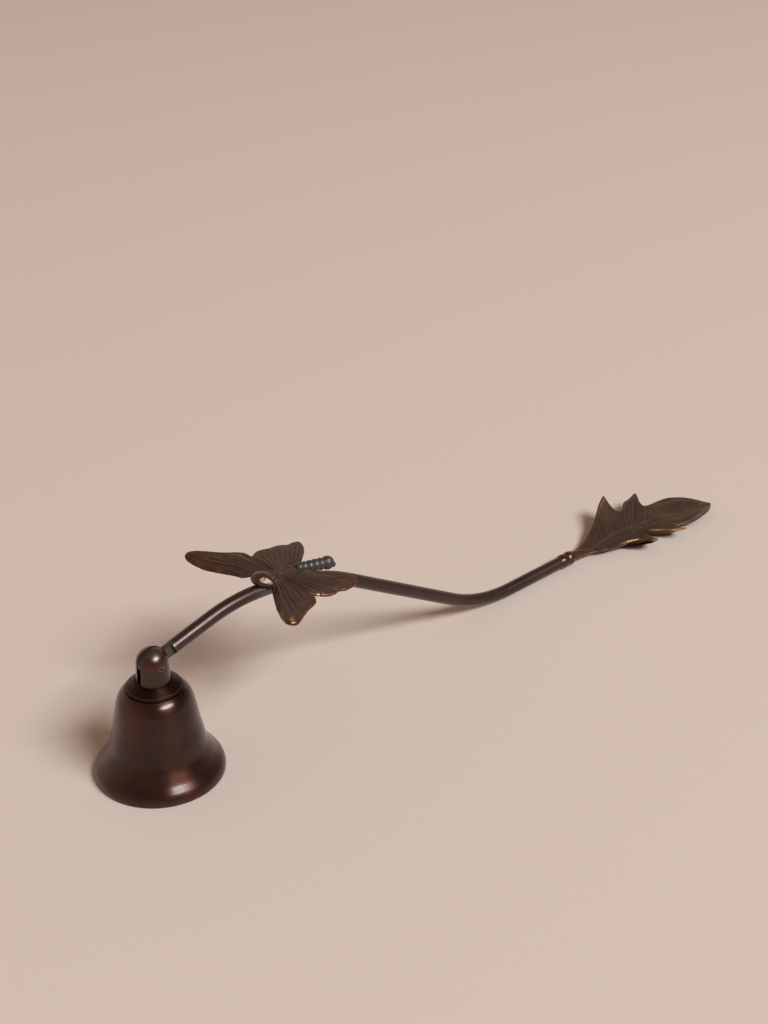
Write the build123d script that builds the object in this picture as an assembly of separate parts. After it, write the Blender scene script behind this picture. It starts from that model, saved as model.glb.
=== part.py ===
"""Candle snuffer: a bell hinged to one end of a long curved rod, with a butterfly and a leaf brazed on.

All lengths are in millimetres. The origin is the centre of the bell's mouth, on the table. +Z is up the
bell's axis and +X runs along the handle, towards the leaf.
"""

import os
from math import atan2, cos, degrees, radians, sin

from build123d import *

# Bell, turned, with a flared lip
mouth_radius = 22.5
bell_height = 33.5
crown_radius = 10.0
bell_wall = 1.9
crown_wall = 2.7
crown_slope = 37.0
lip_round = 0.5
# Each point is how far out it lies from the crown's edge to the mouth's, and how far up the bell.
bell_outline_shares = [
    (1.0, 0.0),
    (0.996, 0.048),
    (0.953, 0.098),
    (0.8, 0.17),
    (0.662, 0.245),
    (0.55, 0.32),
    (0.476, 0.43),
    (0.374, 0.61),
    (0.31, 0.75),
    (0.24, 0.865),
    (0.14, 0.948),
    (0.0, 1.0),
]

# Collar, a turned disc on the bell's crown
collar_radius = 9.3
collar_land_radius = 6.6
collar_side = 1.3
collar_height = 3.0
collar_round = 0.25

# Clevis knob, with the threaded shank that goes down through the collar and the crown
knob_foot_radius = 5.85
knob_radius = 5.5
knob_shaft = 6.8
dome_lift = 0.15
slot_floor_height = 0.7
shank_radius = 2.0
shank_play = 0.1
shank_tail = 1.0

# Washer and hexagon nut inside the bell
washer_radius = 4.5
washer_thickness = 0.8
nut_across_flats = 7.0
nut_height = 3.2
nut_chamfer = 0.4

# Hinge pin and the tongue that turns on it, with a round head that fills the top of the slot
pin_radius = 1.0
pin_running_gap = 0.06
tongue_thickness = 1.8
tongue_side_gap = 0.13
tongue_length = 8.5
tongue_head_radius = 5.3
tongue_head_rise = 1.0

# Handle rod: straight neck, rising bend, falling bend, straight descent, valley bend and tail
rod_radius = 2.5
neck_angle = 16.0
neck_length = 25.5
rise_radius = 61.0
fall_radius = 92.0
descent_angle = 29.5
valley_radius = 65.0
tail_length = 32.8

# Braze ring round the joint of rod and leaf
leaf_braze_bulge = 0.4
leaf_braze_waist = 0.15
leaf_braze_half_length = 4.6
leaf_braze_bump = 3.2
table_gap = 0.25

# Leaf, a thin casting hollowed like a trough
leaf_length = 88.5
leaf_half_width = 18.0
leaf_thickness = 1.4
trough_radius = 27.0
trough_roll = 8.0
trough_pitch = 1.0
stem_mid_radius = 1.5
stem_tip_radius = 0.5
# Each point is a share of the leaf's length from the rod's end, and of its half width.
leaf_outline_shares = [
    [(0.073, -0.111), (0.073, 0.122)],
    [(0.073, 0.122), (0.164, 0.211), (0.262, 0.417), (0.336, 0.594), (0.412, 0.822), (0.478, 0.939)],
    [(0.478, 0.939), (0.486, 0.717), (0.494, 0.611), (0.51, 0.556)],
    [(0.51, 0.556), (0.537, 0.55)],
    [(0.537, 0.55), (0.564, 0.639), (0.581, 0.678), (0.617, 0.694), (0.663, 0.744), (0.681, 0.75)],
    [(0.681, 0.75), (0.678, 0.644), (0.67, 0.567), (0.669, 0.478), (0.676, 0.422)],
    [
        (0.676, 0.422),
        (0.715, 0.4),
        (0.772, 0.389),
        (0.828, 0.367),
        (0.873, 0.306),
        (0.932, 0.167),
        (0.975, -0.039),
        (1.0, -0.389),
    ],
    [
        (1.0, -0.389),
        (0.96, -0.522),
        (0.905, -0.661),
        (0.844, -0.75),
        (0.774, -0.828),
        (0.731, -0.806),
        (0.689, -0.711),
        (0.661, -0.583),
    ],
    [(0.661, -0.583), (0.616, -1.072)],
    [(0.616, -1.072), (0.576, -0.806), (0.537, -0.528), (0.503, -0.361)],
    [(0.503, -0.361), (0.475, -0.639), (0.429, -0.967)],
    [
        (0.429, -0.967),
        (0.41, -0.722),
        (0.367, -0.533),
        (0.305, -0.411),
        (0.226, -0.294),
        (0.15, -0.172),
        (0.073, -0.111),
    ],
]
# The stem's middle and end, on the same shares.
stem_path_shares = [(0.2, 0.0), (0.86, -0.24)]

# Butterfly, placed where the falling bend has this slope
butterfly_tilt = 8.0
wing_length = 45.0
wing_half_span = 30.5
wing_thickness = 1.2
wing_seat_height = 0.5
wing_arch_radius = 375.0
wing_front = 6.5
wing_back = 11.5
spine_radius = 1.6
spine_half_length = 8.5
spine_rise = 0.9
# Each point is a share of the wing's length from the seat, and of the half span.
forewing_outline_shares = [
    (-0.167, 0.129),
    (-0.256, 0.371),
    (-0.338, 0.548),
    (-0.395, 0.726),
    (-0.436, 0.881),
    (-0.418, 0.974),
    (-0.36, 1.0),
    (-0.244, 0.884),
    (-0.144, 0.8),
    (-0.044, 0.719),
    (0.044, 0.568),
]
hindwing_outline_shares = [
    (0.044, 0.568),
    (0.093, 0.626),
    (0.218, 0.642),
    (0.313, 0.613),
    (0.413, 0.629),
    (0.482, 0.587),
    (0.5, 0.503),
    (0.473, 0.387),
    (0.393, 0.232),
    (0.284, 0.097),
]

# Butterfly's body: a head, a keel under the wings and a ringed abdomen
head_radius = 3.75
head_height = 2.8
head_centre = -8.1
head_lift = 0.9
head_floor = -0.7
head_foot_radius = 3.2
keel_width = 3.6
keel_depth = 1.8
abdomen_front = 7.0
abdomen_start_radius = 2.1
abdomen_end_radius = 2.15
abdomen_ring_depth = 0.3
abdomen_rings = 6
abdomen_ring_length = 2.3
abdomen_bulb_radius = 2.3
abdomen_bulb_reach = 1.4
abdomen_nub_radius = 1.0
abdomen_nub_drop = 1.2
abdomen_start_height = 1.9
abdomen_droop = 6.0

# Braze under the butterfly
butterfly_braze_bulge = 0.7
butterfly_braze_half_length = 12.0

# One overrun for every cut that goes right through
overrun = 2.0

collar_top = bell_height + collar_height
hinge_height = collar_top + knob_shaft
slot_width = tongue_thickness + 2 * tongue_side_gap
shank_hole_radius = shank_radius + shank_play
washer_top = bell_height - crown_wall
nut_top = washer_top - washer_thickness
shank_end = nut_top - nut_height - shank_tail


def joined(*pieces):
    """One closed outline from edges that meet end to end."""
    outline = Curve()
    for piece in pieces:
        outline += piece
    return outline


def turned(*pieces):
    """A solid of revolution about Z from an outline drawn as (radius, height)."""
    return revolve(Plane.XZ * make_face(joined(*pieces)), axis=Axis.Z)


def standing_cylinder(radius, bottom, top):
    """A cylinder on the Z axis between two heights."""
    return Pos(0, 0, bottom) * Cylinder(
        radius, top - bottom, align=(Align.CENTER, Align.CENTER, Align.MIN)
    )


def bell_form(inset):
    """The bell's outer shape, or its hollow when the side is drawn in by the wall."""
    points = []
    for outward, upward in bell_outline_shares:
        reach = crown_radius + outward * (mouth_radius - crown_radius)
        points.append((reach - inset, upward * bell_height))
    crown_heading = (-cos(radians(crown_slope)), sin(radians(crown_slope)))
    side = Spline(points, tangents=[(0, 1), crown_heading], tangent_scalars=[1, 1])
    closing = Polyline(points[-1], (0, bell_height), (0, 0), points[0])
    return turned(side, closing)


def make_bell():
    hollow = bell_form(bell_wall) & standing_cylinder(mouth_radius, 0, washer_top)
    shell = bell_form(0) - hollow
    shell -= standing_cylinder(shank_hole_radius, 0, bell_height + overrun)
    rim = shell.edges().filter_by(GeomType.CIRCLE).group_by(Axis.Z)[0]
    return fillet(rim, lip_round)


def make_bell_collar():
    disc = turned(
        Polyline(
            (shank_hole_radius, bell_height),
            (collar_radius, bell_height),
            (collar_radius, bell_height + collar_side),
            (collar_land_radius, collar_top),
            (shank_hole_radius, collar_top),
            (shank_hole_radius, bell_height),
        )
    )
    circles = disc.edges().filter_by(GeomType.CIRCLE)
    outer_edges = circles.filter_by(lambda edge: edge.radius > collar_land_radius)
    return fillet(outer_edges, collar_round)


def knob_envelope():
    """The knob before its slot is cut: a slightly tapered post with a round head."""
    dome_centre = hinge_height + dome_lift
    return turned(
        Line((knob_foot_radius, collar_top), (knob_radius, dome_centre)),
        CenterArc((0, dome_centre), knob_radius, 0, 90),
        Polyline((0, dome_centre + knob_radius), (0, collar_top), (knob_foot_radius, collar_top)),
    )


def cross_pin(radius, reach):
    """A cylinder along Y through the hinge's centre."""
    return Pos(0, 0, hinge_height) * Rot(90, 0, 0) * Cylinder(radius, 2 * reach)


def make_clevis_knob():
    slot_floor = collar_top + slot_floor_height
    slot = Pos(0, 0, slot_floor) * Box(
        2 * knob_foot_radius + overrun,
        slot_width,
        knob_shaft + dome_lift + knob_radius,
        align=(Align.CENTER, Align.CENTER, Align.MIN),
    )
    shank = standing_cylinder(shank_radius, shank_end, collar_top)
    return knob_envelope() + shank - slot - cross_pin(pin_radius, knob_foot_radius + overrun)


def make_crown_washer():
    disc = standing_cylinder(washer_radius, nut_top, washer_top)
    return disc - standing_cylinder(shank_hole_radius, nut_top, washer_top)


def make_crown_nut():
    bottom = nut_top - nut_height
    hexagon = RegularPolygon(nut_across_flats / 2, 6, major_radius=False)
    prism = Pos(0, 0, bottom) * extrude(hexagon, nut_height)
    corner_radius = nut_across_flats / 2 / cos(radians(30))
    blank = standing_cylinder(corner_radius, bottom, nut_top)
    blank = chamfer(blank.edges().filter_by(GeomType.CIRCLE), nut_chamfer)
    return (prism & blank) - standing_cylinder(shank_radius, bottom, nut_top)


def make_hinge_pin():
    """A rivet whose ends are dressed flush with the knob."""
    return cross_pin(pin_radius, knob_foot_radius + overrun) & knob_envelope()


def rod_line():
    """The rod's centre line in (along, up), and its falling bend, which carries the butterfly."""
    along, up = cos(radians(neck_angle)), sin(radians(neck_angle))
    back_end = (-rod_radius * along, hinge_height - rod_radius * up)
    neck = Line(back_end, (neck_length * along, hinge_height + neck_length * up))
    rise = JernArc(neck @ 1, neck % 1, rise_radius, -neck_angle)
    fall = JernArc(rise @ 1, rise % 1, fall_radius, -descent_angle)
    valley_drop = valley_radius * (1 - cos(radians(descent_angle)))
    descent_drop = (fall @ 1).Y - valley_drop - rod_radius
    descent_length = descent_drop / sin(radians(descent_angle))
    descent = Line(fall @ 1, fall @ 1 + (fall % 1) * descent_length)
    tail_lift = leaf_braze_bulge + table_gap
    tail_angle = degrees(atan2(tail_lift, tail_length))
    valley = JernArc(descent @ 1, descent % 1, valley_radius, descent_angle + tail_angle)
    tail = Line(valley @ 1, valley @ 1 + (valley % 1) * tail_length)
    return joined(neck, rise, fall, descent, valley, tail), fall, tail


def upright(point):
    """A point of the rod's line, drawn as (along, up), in the row's frame."""
    return Vector(point.X, 0, point.Y)


def make_handle_rod(line):
    path = Plane.XZ * line
    start, heading = upright(line @ 0), upright(line % 0)
    rod = sweep(Plane(origin=start, z_dir=heading) * Circle(rod_radius), path=path)
    along_rod = Plane(origin=(0, 0, hinge_height), x_dir=heading, z_dir=heading.cross(Vector(0, 1, 0)))
    side_depth = rod_radius + overrun
    for side in (1, -1):
        flat = Pos(tongue_length, side * tongue_thickness / 2, 0) * Box(
            tongue_length + rod_radius + overrun,
            side_depth,
            2 * side_depth,
            align=(Align.MAX, Align.MIN if side > 0 else Align.MAX, Align.CENTER),
        )
        rod -= along_rod * flat
    end_block = Box(
        rod_radius + overrun,
        2 * side_depth,
        2 * side_depth,
        align=(Align.MAX, Align.CENTER, Align.CENTER),
    )
    rod -= (along_rod * end_block) - cross_pin(rod_radius, side_depth + overrun)
    above_pin = Pos(0, 0, tongue_head_rise) * Box(
        2 * tongue_head_radius,
        2 * tongue_head_radius,
        tongue_head_radius,
        align=(Align.CENTER, Align.CENTER, Align.MIN),
    )
    rod += cross_pin(tongue_head_radius, tongue_thickness / 2) & (along_rod * above_pin)
    return rod - cross_pin(pin_radius + pin_running_gap, side_depth)


def leaf_point(origin, share):
    """A point of the leaf's outline, in plan."""
    return (origin.X + share[0] * leaf_length, share[1] * leaf_half_width)


def trough_surface_height(origin, share):
    """The height of the leaf's upper surface at a point of its plan."""
    along, across = leaf_point(origin, share)
    tip = origin.X + leaf_length
    centre_across = -trough_radius * sin(radians(trough_roll))
    bottom = table_gap + leaf_thickness + (tip - along) * sin(radians(trough_pitch))
    centre_up = bottom + trough_radius
    return centre_up - (trough_radius**2 - (across - centre_across) ** 2) ** 0.5


def make_leaf(origin, heading):
    edges = []
    for shares in leaf_outline_shares:
        points = [leaf_point(origin, share) for share in shares]
        edges.append(Line(points) if len(points) == 2 else Spline(points))
    prism = extrude(make_face(joined(*edges)), leaf_half_width)
    tip = origin.X + leaf_length
    shell = Cylinder(trough_radius + leaf_thickness, 3 * leaf_length) - Cylinder(trough_radius, 3 * leaf_length)
    centre_across = -trough_radius * sin(radians(trough_roll))
    centre_up = table_gap + leaf_thickness + trough_radius
    shell = Pos(tip, centre_across, centre_up) * Rot(0, trough_pitch, 0) * Rot(0, 90, 0) * shell
    blade = prism & shell
    return blade + make_stem(origin, heading)


def make_stem(origin, heading):
    """The stem starts with the rod's own section and thins out into the leaf's midrib."""
    sections = [Plane(origin=origin, z_dir=heading) * Circle(rod_radius)]
    radii = (stem_mid_radius, stem_tip_radius)
    for share, radius in zip(stem_path_shares, radii):
        along, across = leaf_point(origin, share)
        height = trough_surface_height(origin, share) - leaf_thickness / 2
        sections.append(Plane(origin=(along, across, height), z_dir=(1, 0, 0)) * Circle(radius))
    return loft(sections, ruled=True)


def make_leaf_braze(origin, heading, rod, leaf):
    """A ring with two bumps over the butt joint."""
    bump = rod_radius + leaf_braze_bulge
    waist = rod_radius + leaf_braze_waist
    profile = Spline(
        (rod_radius, -leaf_braze_half_length),
        (bump, -leaf_braze_bump),
        (waist, 0),
        (bump, leaf_braze_bump),
        (rod_radius, leaf_braze_half_length),
    )
    closing = Polyline(
        (rod_radius, leaf_braze_half_length),
        (0, leaf_braze_half_length),
        (0, -leaf_braze_half_length),
        (rod_radius, -leaf_braze_half_length),
    )
    return Plane(origin=origin, z_dir=heading) * turned(profile, closing) - rod - leaf


def butterfly_seat(fall):
    """The plane that touches the top of the rod where the butterfly sits, +X towards the leaf."""
    share = butterfly_tilt / descent_angle
    centre, heading = upright(fall @ share), upright(fall % share)
    outward = heading.cross(Vector(0, 1, 0)) * -1
    if outward.Z < 0:
        outward = outward * -1
    return Plane(origin=centre + outward * rod_radius, x_dir=heading, z_dir=outward)


def wing_points(shares, side):
    return [(along * wing_length, side * across * wing_half_span) for along, across in shares]


def wing_outline(side):
    """The outline of one fore wing and one hind wing, closed along the body's line."""
    forewing = wing_points(forewing_outline_shares, side)
    hindwing = wing_points(hindwing_outline_shares, side)
    closing = Polyline(hindwing[-1], (wing_back, 0), (-wing_front, 0), forewing[0])
    return joined(Spline(forewing), Spline(hindwing), closing)


def make_butterfly_wings():
    """Both pairs of wings as one arched plate, with a low spine where they meet."""
    span = 2 * wing_half_span
    blank = extrude(make_face(wing_outline(1)), wing_half_span, both=True)
    blank += extrude(make_face(wing_outline(-1)), wing_half_span, both=True)
    top = wing_seat_height + wing_thickness
    arch = Cylinder(wing_arch_radius, 2 * span) - Cylinder(wing_arch_radius - wing_thickness, 2 * span)
    arch = Pos(0, 0, top - wing_arch_radius) * Rot(0, 90, 0) * arch
    plate = blank & arch
    spine = spindle(spine_half_length, spine_radius)
    spine = Pos((wing_back - wing_front) / 2, 0, top + spine_rise - spine_radius) * spine
    above = Pos(0, 0, top - wing_thickness / 2) * Box(
        span, span, span, align=(Align.CENTER, Align.CENTER, Align.MIN)
    )
    return plate + (spine & above)


def spindle(half_length, radius):
    """An ellipse turned about X."""
    outline = Ellipse(half_length, radius)
    half = outline & Rectangle(2 * half_length, radius, align=(Align.CENTER, Align.MIN))
    return revolve(half, axis=Axis.X)


def make_abdomen():
    """Rings in a row, a round bulb at the end and a small nub low on the bulb."""
    step = (abdomen_start_radius - abdomen_end_radius) / abdomen_rings
    pieces = []
    for ring in range(abdomen_rings):
        crest = abdomen_start_radius - step * ring
        start = (ring * abdomen_ring_length, crest - abdomen_ring_depth)
        middle = ((ring + 0.5) * abdomen_ring_length, crest)
        end = ((ring + 1) * abdomen_ring_length, crest - step - abdomen_ring_depth)
        pieces.append(ThreePointArc(start, middle, end))
    first, last = pieces[0] @ 0, pieces[-1] @ 1
    pieces.append(Polyline((last.X, last.Y), (last.X, 0), (0, 0), (0, first.Y)))
    rings = revolve(make_face(joined(*pieces)), axis=Axis.X)
    bulb_centre = last.X + abdomen_bulb_reach
    nub_reach = (abdomen_bulb_radius**2 - abdomen_nub_drop**2) ** 0.5
    bulb = Pos(bulb_centre, 0, 0) * Sphere(abdomen_bulb_radius)
    nub = Pos(bulb_centre + nub_reach, 0, -abdomen_nub_drop) * Sphere(abdomen_nub_radius)
    return rings + bulb + nub


def make_butterfly_body():
    """Head, keel and abdomen, in the seat's frame, before the rod and the wings are cut out of them."""
    crown = (0, head_lift + head_height)
    widest = (head_radius, head_lift)
    foot = (head_foot_radius, head_floor)
    shoulder = Spline(crown, widest, foot, tangents=[(1, 0), (0, -1), (-1, -1)])
    head = Pos(head_centre, 0, 0) * turned(shoulder, Polyline(foot, (0, head_floor), crown))
    inside_plate = wing_seat_height + wing_thickness / 2
    above_keel = Pos(-wing_front, 0, inside_plate) * Box(
        wing_length, wing_half_span, wing_length, align=(Align.MIN, Align.CENTER, Align.MIN)
    )
    keel = Pos(head_centre, 0, inside_plate) * Box(
        wing_back - head_centre + abdomen_ring_length,
        keel_width,
        keel_depth + inside_plate,
        align=(Align.MIN, Align.CENTER, Align.MAX),
    )
    abdomen = Pos(abdomen_front, 0, abdomen_start_height) * Rot(0, abdomen_droop, 0) * make_abdomen()
    return (head - above_keel) + keel + abdomen


def make_butterfly_braze():
    """A bead that fills the corner between the rod and the butterfly, in the seat's frame."""
    bead = spindle(butterfly_braze_half_length, rod_radius + butterfly_braze_bulge)
    upper = Box(
        2 * butterfly_braze_half_length,
        4 * rod_radius,
        2 * rod_radius,
        align=(Align.CENTER, Align.CENTER, Align.MIN),
    )
    return Pos(0, 0, -rod_radius) * (bead & upper)


def make_all():
    line, fall, tail = rod_line()
    rod = make_handle_rod(line)
    rod_end, rod_heading = upright(tail @ 1), upright(tail % 1)
    leaf = make_leaf(rod_end, rod_heading)
    seat = butterfly_seat(fall)
    wings = seat * make_butterfly_wings()
    body = seat * make_butterfly_body() - rod - wings
    return {
        "bell": make_bell(),
        "bell_collar": make_bell_collar(),
        "clevis_knob": make_clevis_knob(),
        "crown_washer": make_crown_washer(),
        "crown_nut": make_crown_nut(),
        "hinge_pin": make_hinge_pin(),
        "handle_rod": rod,
        "butterfly_wings": wings,
        "butterfly_body": body,
        "butterfly_braze": seat * make_butterfly_braze() - rod - wings - body,
        "leaf": leaf,
        "leaf_braze": make_leaf_braze(rod_end, rod_heading, rod, leaf),
    }


os.makedirs("parts", exist_ok=True)
for name, shape in make_all().items():
    export_step(shape, f"parts/{name}.step")
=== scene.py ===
"""Candle snuffer in antique bronze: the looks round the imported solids.

Sizes are written in millimetres and turned into metres with mm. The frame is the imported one: the bell's mouth
is centred on the origin, on the table, +Z is up, and +X runs along the handle to the leaf.
"""

from bisect import bisect_right
from functools import partial
from math import cos, pi, radians, sin, sqrt

import bpy
from mathutils import Matrix, Vector, kdtree, noise


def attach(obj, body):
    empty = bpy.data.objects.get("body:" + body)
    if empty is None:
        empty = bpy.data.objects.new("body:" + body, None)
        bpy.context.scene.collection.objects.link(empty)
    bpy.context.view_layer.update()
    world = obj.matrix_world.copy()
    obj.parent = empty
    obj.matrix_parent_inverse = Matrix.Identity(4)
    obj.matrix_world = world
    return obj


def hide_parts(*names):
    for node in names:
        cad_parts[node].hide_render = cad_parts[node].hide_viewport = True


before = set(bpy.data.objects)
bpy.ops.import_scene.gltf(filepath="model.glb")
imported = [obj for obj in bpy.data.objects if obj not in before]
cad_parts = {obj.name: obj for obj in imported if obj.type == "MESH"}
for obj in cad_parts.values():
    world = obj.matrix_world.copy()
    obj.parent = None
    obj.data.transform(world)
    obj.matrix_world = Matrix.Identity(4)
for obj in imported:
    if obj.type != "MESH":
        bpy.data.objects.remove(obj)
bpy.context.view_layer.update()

mm = 0.001

# The butterfly's seat on the rod
seat_place = Vector((54.48, 0, 54.27)) * mm
seat_tilt = radians(8)
seat = Matrix.Translation(seat_place) @ Matrix.Rotation(seat_tilt, 4, "Y")


def clear_selection():
    if bpy.context.object and bpy.context.object.mode != "OBJECT":
        bpy.ops.object.mode_set(mode="OBJECT")
    bpy.ops.object.select_all(action="DESELECT")


def work_on(piece):
    clear_selection()
    piece.select_set(True)
    bpy.context.view_layer.objects.active = piece


def pick(piece, chosen):
    """Opens a piece in edit mode, with the points selected that chosen(place in millimetres) holds for."""
    work_on(piece)
    bpy.ops.object.mode_set(mode="EDIT")
    bpy.ops.mesh.select_mode(type="VERT")
    bpy.ops.mesh.select_all(action="DESELECT")
    bpy.ops.object.mode_set(mode="OBJECT")
    for vertex in piece.data.vertices:
        vertex.select = chosen(vertex.co / mm)
    bpy.ops.object.mode_set(mode="EDIT")


def cut_off(piece, place, outward):
    """Planes a piece flat at a place, in millimetres, and takes away what lies outward of it."""
    pick(piece, lambda point: True)
    bpy.ops.mesh.bisect(plane_co=Vector(place) * mm, plane_no=outward, use_fill=True, clear_outer=True)
    bpy.ops.object.mode_set(mode="OBJECT")


def ball(place, radius, flatten=1.0):
    """A ball in millimetres, squashed along Z by flatten."""
    clear_selection()
    centre = Vector(place) * mm
    bpy.ops.mesh.primitive_uv_sphere_add(segments=64, ring_count=40, radius=radius * mm, location=centre)
    bpy.ops.object.transform_apply(location=True, rotation=False, scale=False)
    made = bpy.context.object
    pick(made, lambda point: True)
    bpy.ops.transform.resize(value=(1, 1, flatten), center_override=centre)
    bpy.ops.object.mode_set(mode="OBJECT")
    return made


def drawn_out(rings, sides=40):
    """A round bar along X, extruded ring by ring. A ring is (along, side, height, radius) in millimetres."""
    clear_selection()
    along, side, height, radius = rings[0]
    centre = Vector((along, side, height)) * mm
    bpy.ops.mesh.primitive_circle_add(
        vertices=sides, radius=radius * mm, fill_type="NGON", location=centre, rotation=(0, pi / 2, 0)
    )
    bpy.ops.object.transform_apply(location=True, rotation=True, scale=False)
    bpy.ops.object.mode_set(mode="EDIT")
    bpy.ops.mesh.select_all(action="SELECT")
    for along, side, height, next_radius in rings[1:]:
        next_centre = Vector((along, side, height)) * mm
        bpy.ops.mesh.extrude_region_move(TRANSFORM_OT_translate={"value": next_centre - centre})
        growth = next_radius / radius
        bpy.ops.transform.resize(value=(1, growth, growth), center_override=next_centre)
        centre, radius = next_centre, next_radius
    bpy.ops.object.mode_set(mode="OBJECT")
    return bpy.context.object


# What each point of a surface carries for its finish, each from 0 to 1: how far the patina is rubbed through
# to brass, how deep the point lies in a hollow plus the painted shade on the leaf's near side, and how far the
# patina has turned red.
surface_marks = ["rubbed", "hollow_and_shade", "reddened"]


def mark_layers(mesh):
    """Gives a mesh an attribute for each mark."""
    for mark in surface_marks:
        mesh.attributes.new(mark, "FLOAT", "POINT")
    return [mesh.attributes[mark] for mark in surface_marks]


def shaped_sheet(columns, rows, place, marks):
    """A grid whose points go where place(column, row) says. marks(column, row) gives each point's marks."""
    clear_selection()
    bpy.ops.mesh.primitive_grid_add(x_subdivisions=columns, y_subdivisions=rows, size=2)
    sheet = bpy.context.object
    layers = mark_layers(sheet.data)
    for vertex in sheet.data.vertices:
        column = round((vertex.co.x + 1) / 2 * columns)
        row = round((vertex.co.y + 1) / 2 * rows)
        for layer, amount in zip(layers, marks(column, row)):
            layer.data[vertex.index].value = amount
        vertex.co = place(column, row)
    return sheet


def joined(name, parts, weld=0.004 * mm, crease=60):
    """One closed, smooth piece from parts that meet edge to edge."""
    clear_selection()
    for part in parts:
        part.select_set(True)
    bpy.context.view_layer.objects.active = parts[0]
    if len(parts) > 1:
        bpy.ops.object.join()
    piece = bpy.context.object
    piece.name = name
    bpy.ops.object.mode_set(mode="EDIT")
    bpy.ops.mesh.select_all(action="SELECT")
    bpy.ops.mesh.remove_doubles(threshold=weld)
    bpy.ops.mesh.dissolve_degenerate(threshold=weld)
    bpy.ops.mesh.normals_make_consistent(inside=False)
    bpy.ops.object.mode_set(mode="OBJECT")
    bpy.ops.object.shade_smooth_by_angle(angle=radians(crease))
    return piece


def modified(piece, kind, **settings):
    """Adds a modifier and applies it."""
    work_on(piece)
    modifier = piece.modifiers.new(kind.lower(), kind)
    for setting, value in settings.items():
        setattr(modifier, setting, value)
    bpy.ops.object.modifier_apply(modifier=modifier.name)


def cast_lumps(piece, name, size, depth, part=""):
    """Gives a surface, or one vertex group of it, lumps of this size and depth in millimetres."""
    lumps = bpy.data.textures.new(name, "CLOUDS")
    lumps.noise_scale = size * mm
    lumps.noise_depth = 2
    strength = depth * mm
    modified(piece, "DISPLACE", texture=lumps, texture_coords="LOCAL", strength=strength, vertex_group=part)


def settle(piece, place):
    """Moves the piece's points, so that its object stays at the origin."""
    work_on(piece)
    piece.data.transform(place)
    return piece


def stands_for(piece, solid, body, finish):
    """Puts a piece in the place of a solid, on its body and with its finish."""
    piece.data.materials.clear()
    piece.data.materials.append(finish)
    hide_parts(solid)
    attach(piece, body)


def curve_between(a, b, c, d, t):
    """A rounded curve from b to c, for t from 0 to 1. It comes from a and goes on to d."""
    return 0.5 * (2 * b + (c - a) * t + (2 * a - 5 * b + 4 * c - d) * t**2 + (3 * b - a - 3 * c + d) * t**3)


def rounded_line(stations, steps):
    """The stations and others between them, on a rounded line. A station is a tuple of numbers."""
    line = []
    for i in range(len(stations) - 1):
        before, start = stations[max(i - 1, 0)], stations[i]
        end, after = stations[i + 1], stations[min(i + 2, len(stations) - 1)]
        for step in range(steps):
            t = step / steps
            line.append(tuple(curve_between(*four, t) for four in zip(before, start, end, after)))
    line.append(stations[-1])
    return line


def evenly(stations, count, inner_weight):
    """count + 1 stations, spread evenly by the outline's length and, by inner_weight, the inner line's."""
    travelled = [0.0]
    for a, b in zip(stations, stations[1:]):
        outer = Vector(b[:2]) - Vector(a[:2])
        inner = Vector(b[2:4]) - Vector(a[2:4])
        travelled.append(travelled[-1] + outer.length + inner_weight * inner.length)
    spread = []
    for column in range(count + 1):
        target = travelled[-1] * column / count
        i = min(bisect_right(travelled, target), len(stations) - 1)
        gap = travelled[i] - travelled[i - 1]
        t = (target - travelled[i - 1]) / gap if gap else 1.0
        spread.append(tuple(a + (b - a) * t for a, b in zip(stations[i - 1], stations[i])))
    return spread


def edge_finder(*outlines, steps=4):
    """Tells how far a place in plan is from the nearest outline, from some steps between their stations."""
    places = []
    for stations in outlines:
        points = [Vector((x, y, 0)) for x, y, *_ in stations]
        for a, b in zip(points, points[1:]):
            places += [a.lerp(b, step / steps) for step in range(steps)]
        places.append(points[-1])
    tree = kdtree.KDTree(len(places))
    for i, place in enumerate(places):
        tree.insert(place, i)
    tree.balance()
    return lambda x, y: tree.find(Vector((x, y, 0)))[2]


def ease(value, low, high):
    """0 below low and 1 above high, with a smooth rise between them."""
    t = min(max((value - low) / (high - low), 0.0), 1.0)
    return t * t * (3 - 2 * t)


def between(value, low, high, soft):
    """1 between low and high, fading to 0 over soft beyond them."""
    return ease(value, low - soft, low) * (1 - ease(value, high, high + soft))


def wave(turns):
    """1 at each whole number of turns and 0 halfway between them."""
    return (1 + cos(2 * pi * turns)) / 2


def rounding(distance, radius):
    """How far a rounded edge has dropped at this distance from its rim."""
    if distance >= radius:
        return 0.0
    return radius * (1 - sqrt(max(1 - (1 - distance / radius) ** 2, 0.0)))


def cloud(x, y, size, seed):
    """A smooth random value from about -1 to 1, with features of about this size."""
    return noise.noise(Vector((x / size, y / size, seed)))


def uneven(x, y, amount_and_size, seed):
    """A cloud that adds or takes away up to this amount."""
    amount, size = amount_and_size
    return amount * cloud(x, y, size, seed)


# How far a spot's border wanders, as a share of its reach, and the size of the bays in it
spot_border = (0.25, 1.4)


def spot_mark(x, y, spots, seed):
    """1 inside the spots and 0 outside, with an uneven border. A spot is a place and how far it reaches."""
    mark = 0.0
    for (spot_x, spot_y), reach in spots:
        distance = sqrt((x - spot_x) ** 2 + (y - spot_y) ** 2)
        border = 1 + uneven(x, y, spot_border, seed)
        mark = max(mark, 1 - ease(distance / (reach * border), 0.5, 1.2))
    return mark


# Butterfly wings, in millimetres from the seat. x runs along the rod and y out to the side. Each point lies
# on a vein, at a share v of the way from the body to the outline. Veins are counted from the front.
wing_front = -6.5
wing_back = 11.5
wing_under = 0.5
wing_thickness = 1.2
wing_arch_radius = 375
wing_edge_round = 0.6
# The forewing's leading edge is rolled down, over this width and this many veins.
leading_droop = 2.2
leading_width = 4.5
leading_veins = 2.6
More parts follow.
